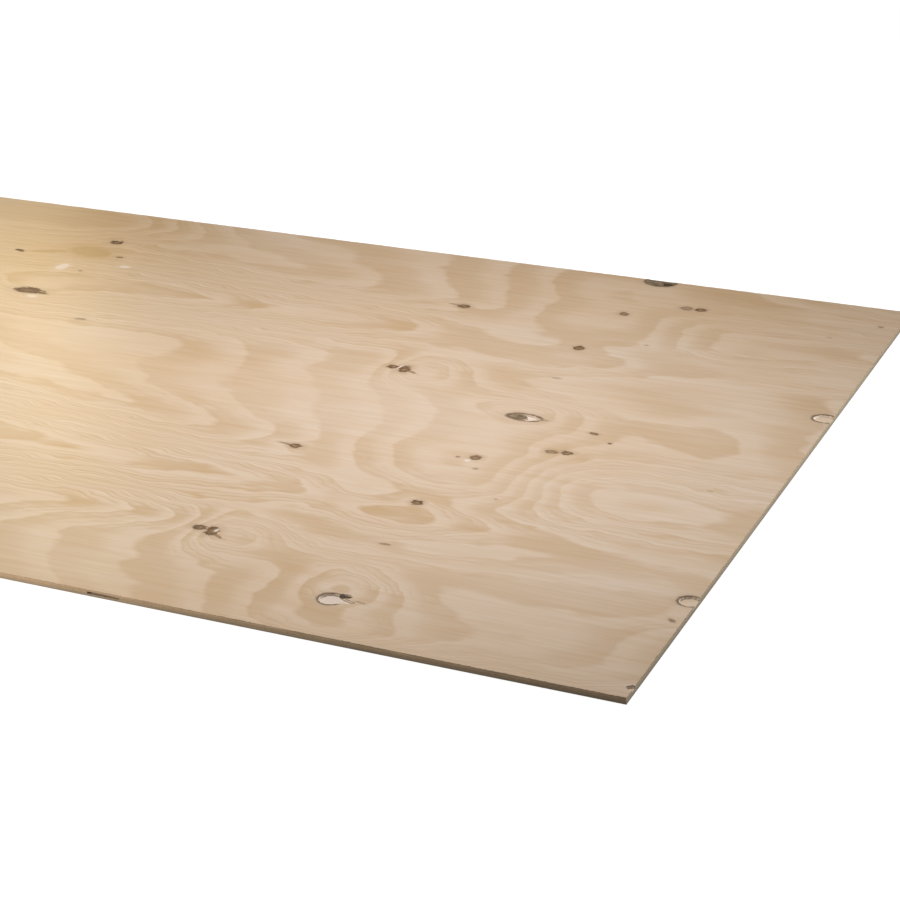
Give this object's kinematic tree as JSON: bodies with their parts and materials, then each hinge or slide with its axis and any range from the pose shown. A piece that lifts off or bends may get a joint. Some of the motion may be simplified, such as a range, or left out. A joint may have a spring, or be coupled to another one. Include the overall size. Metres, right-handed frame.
{
  "type": "plywood sheet",
  "caption": "Flat rectangular sheet of softwood plywood with a rotary-cut face veneer, open knot holes and square sawn edges, for sheathing, decking and formwork.",
  "frame": {"origin": "middle of the underside, on the plane that the sheet lies on", "axes": "+X along the length and the face grain, +Y across the width, +Z out of the knotty face"},
  "size_m": [2.44, 1.22, 0.0087],
  "materials": {
    "softwood_veneer": "bare unsanded veneer, matt"
  },
  "bodies": {
    "root": {"plywood_sheet": "softwood_veneer"}
  },
  "joints": []
}
